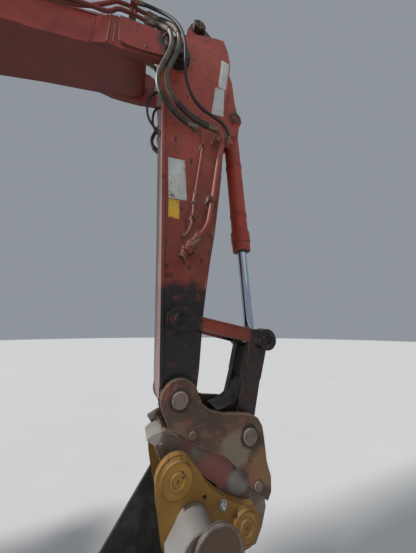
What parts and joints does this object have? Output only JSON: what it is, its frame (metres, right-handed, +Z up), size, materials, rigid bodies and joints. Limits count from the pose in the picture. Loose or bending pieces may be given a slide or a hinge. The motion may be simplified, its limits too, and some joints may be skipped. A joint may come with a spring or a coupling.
{
  "type": "crawler excavator",
  "caption": "Crawler excavator with a boom, an arm and a bucket on a quick coupler, parked on its tracks.",
  "frame": {"origin": "on the ground under the swing axis, between the tracks", "axes": "+X forward along the boom at rest, +Y to the operator's left (cab side), +Z up"},
  "size_m": [10.167, 3.245, 5.9891],
  "materials": {
    "red_paint": "faded satin red-orange paint",
    "dark_grease": "greasy worn steel",
    "rusty_steel": "rusty steel",
    "ochre_paint": "worn ochre paint",
    "dark_steel": "dirty dark steel",
    "track_steel": "worn track steel",
    "chrome_rod": "polished chrome",
    "pane": "clear glass",
    "black_trim": "matte black",
    "seat_cloth": "woven cloth",
    "hose_rubber": "black hose rubber",
    "bare_steel": "machined steel"
  },
  "bodies": {
    "undercarriage": {"car_body": "red_paint", "track_frame_left": "red_paint", "track_frame_right": "red_paint", "track_left": "track_steel", "track_right": "track_steel", "sprockets": "track_steel", "idlers": "track_steel", "lower_rollers": "track_steel", "carrier_rollers": "track_steel", "slew_ring": "bare_steel"},
    "house": {"deck": "red_paint", "counterweight": "red_paint", "engine_block": "dark_steel", "side_walls": "red_paint", "fuel_tank": "red_paint", "hydraulic_tank": "red_paint", "tool_box": "red_paint", "handrails": "red_paint", "cab_shell": "red_paint", "cab_glass": "pane", "seat": "seat_cloth", "consoles": "black_trim", "mirrors": "black_trim"},
    "hood_body": {"hood": "red_paint", "exhaust": "dark_steel"},
    "radiator_door_body": {"radiator_door": "red_paint"},
    "pump_door_body": {"pump_door": "red_paint"},
    "cab_door_body": {"cab_door": "red_paint", "door_glass": "pane"},
    "boom": {"boom_shell": "red_paint", "boom_pipes": "red_paint", "boom_lamp": "black_trim"},
    "arm": {"arm_shell": "red_paint", "arm_pipes": "red_paint", "joint_hoses": "hose_rubber", "pilot_hoses": "hose_rubber"},
    "rocker": {"rocker_links": "dark_grease"},
    "linkage": {"h_link": "dark_grease"},
    "bucket": {"coupler_frame": "rusty_steel", "coupler_hook": "rusty_steel", "bucket_ears": "ochre_paint", "bucket_shell": "dark_steel", "bucket_teeth": "dark_steel"},
    "boom_barrel_l": {"boom_barrel_left": "red_paint"},
    "boom_rod_l": {"boom_rod_left": "chrome_rod"},
    "boom_barrel_r": {"boom_barrel_right": "red_paint"},
    "boom_rod_r": {"boom_rod_right": "chrome_rod"},
    "arm_barrel_body": {"arm_barrel": "red_paint"},
    "arm_rod_body": {"arm_rod": "chrome_rod"},
    "bucket_barrel_body": {"bucket_barrel": "red_paint"},
    "bucket_rod_body": {"bucket_rod": "chrome_rod"}
  },
  "joints": [
    {"name": "swing", "type": "hinge", "parent": "undercarriage", "child": "house", "pos_m": [0, 0, 1.185], "axis": [0, 0, 1], "continuous": true},
    {"name": "boom_lift", "type": "hinge", "parent": "house", "child": "boom", "pos_m": [0.18, 0, 1.95], "axis": [0, -1, 0], "range_deg": [-70, 27]},
    {"name": "arm_swing", "type": "hinge", "parent": "boom", "child": "arm", "pos_m": [5.732, 0, 5.096], "axis": [0, 1, 0], "range_deg": [-87, 27], "deforming": ["joint_hoses"]},
    {"name": "bucket_curl", "type": "hinge", "parent": "arm", "child": "bucket", "pos_m": [5.9, 0, 1.9], "axis": [0, 1, 0], "range_deg": [-50, 95]},
    {"name": "cab_door_hinge", "type": "hinge", "parent": "house", "child": "cab_door_body", "pos_m": [0.606, 1.472, 2.4], "axis": [0, 0, 1], "range_deg": [0, 170]},
    {"name": "hood_hinge", "type": "hinge", "parent": "house", "child": "hood_body", "pos_m": [-2.35, 0, 2.63], "axis": [0, -1, 0], "range_deg": [0, 60]},
    {"name": "radiator_door_hinge", "type": "hinge", "parent": "house", "child": "radiator_door_body", "pos_m": [-1.956, 1.496, 1.9], "axis": [0, 0, -1], "range_deg": [-110, 0]},
    {"name": "pump_door_hinge", "type": "hinge", "parent": "house", "child": "pump_door_body", "pos_m": [-2.006, -1.496, 1.9], "axis": [0, 0, 1], "range_deg": [-110, 0]},
    {"name": "rocker_hinge", "type": "hinge", "parent": "arm", "child": "rocker", "pos_m": [5.888, 0, 2.418], "axis": [0, 1, 0], "range_deg": [-29.78, 56.4]},
    {"name": "h_link_hinge", "type": "hinge", "parent": "rocker", "child": "linkage", "pos_m": [6.585, 0, 2.261], "axis": [0, 1, 0], "range_deg": [-26.94, 14.28]},
    {"name": "bucket_barrel_hinge", "type": "hinge", "parent": "arm", "child": "bucket_barrel_body", "pos_m": [6.454, 0, 4.647], "axis": [0, 1, 0], "range_deg": [-4.03, 7.47]},
    {"name": "bucket_rod_slide", "type": "slide", "parent": "bucket_barrel_body", "child": "bucket_rod_body", "axis": [0.0548, 0, -0.9985], "range_m": [-0.317, 0.593]},
    {"name": "arm_barrel_hinge", "type": "hinge", "parent": "boom", "child": "arm_barrel_body", "pos_m": [2.34119, 0, 4.82973], "axis": [0, 1, 0], "range_deg": [-2.86, 1.03]},
    {"name": "arm_rod_slide", "type": "slide", "parent": "arm_barrel_body", "child": "arm_rod_body", "axis": [0.9608, 0, 0.2773], "range_m": [-1.164, 0.368]},
    {"name": "boom_barrel_left_hinge", "type": "hinge", "parent": "house", "child": "boom_barrel_l", "pos_m": [0.93, 0.38, 1.48], "axis": [0, -1, 0], "range_deg": [-79.45, 30.77]},
    {"name": "boom_rod_left_slide", "type": "slide", "parent": "boom_barrel_l", "child": "boom_rod_l", "axis": [0.5117, 0, 0.8591], "range_m": [-0.939, 0.368]},
    {"name": "boom_barrel_right_hinge", "type": "hinge", "parent": "house", "child": "boom_barrel_r", "pos_m": [0.93, -0.38, 1.48], "axis": [0, -1, 0], "range_deg": [-79.45, 30.77]},
    {"name": "boom_rod_right_slide", "type": "slide", "parent": "boom_barrel_r", "child": "boom_rod_r", "axis": [0.5117, 0, 0.8591], "range_m": [-0.939, 0.368]}
  ],
  "couplings": [
    {"joint": "rocker_hinge", "follows": "bucket_curl", "ratio": 0.58},
    {"joint": "h_link_hinge", "follows": "bucket_curl", "ratio": -0.276},
    {"joint": "bucket_barrel_hinge", "follows": "bucket_curl", "ratio": 0.075},
    {"joint": "bucket_rod_slide", "follows": "bucket_curl", "m_per_rad": 0.3515},
    {"joint": "arm_barrel_hinge", "follows": "arm_swing", "ratio": 0.03},
    {"joint": "arm_rod_slide", "follows": "arm_swing", "m_per_rad": 0.76},
    {"joint": "boom_barrel_left_hinge", "follows": "boom_lift", "ratio": 1.11},
    {"joint": "boom_rod_left_slide", "follows": "boom_lift", "m_per_rad": 0.76},
    {"joint": "boom_barrel_right_hinge", "follows": "boom_lift", "ratio": 1.11},
    {"joint": "boom_rod_right_slide", "follows": "boom_lift", "m_per_rad": 0.76}
  ]
}
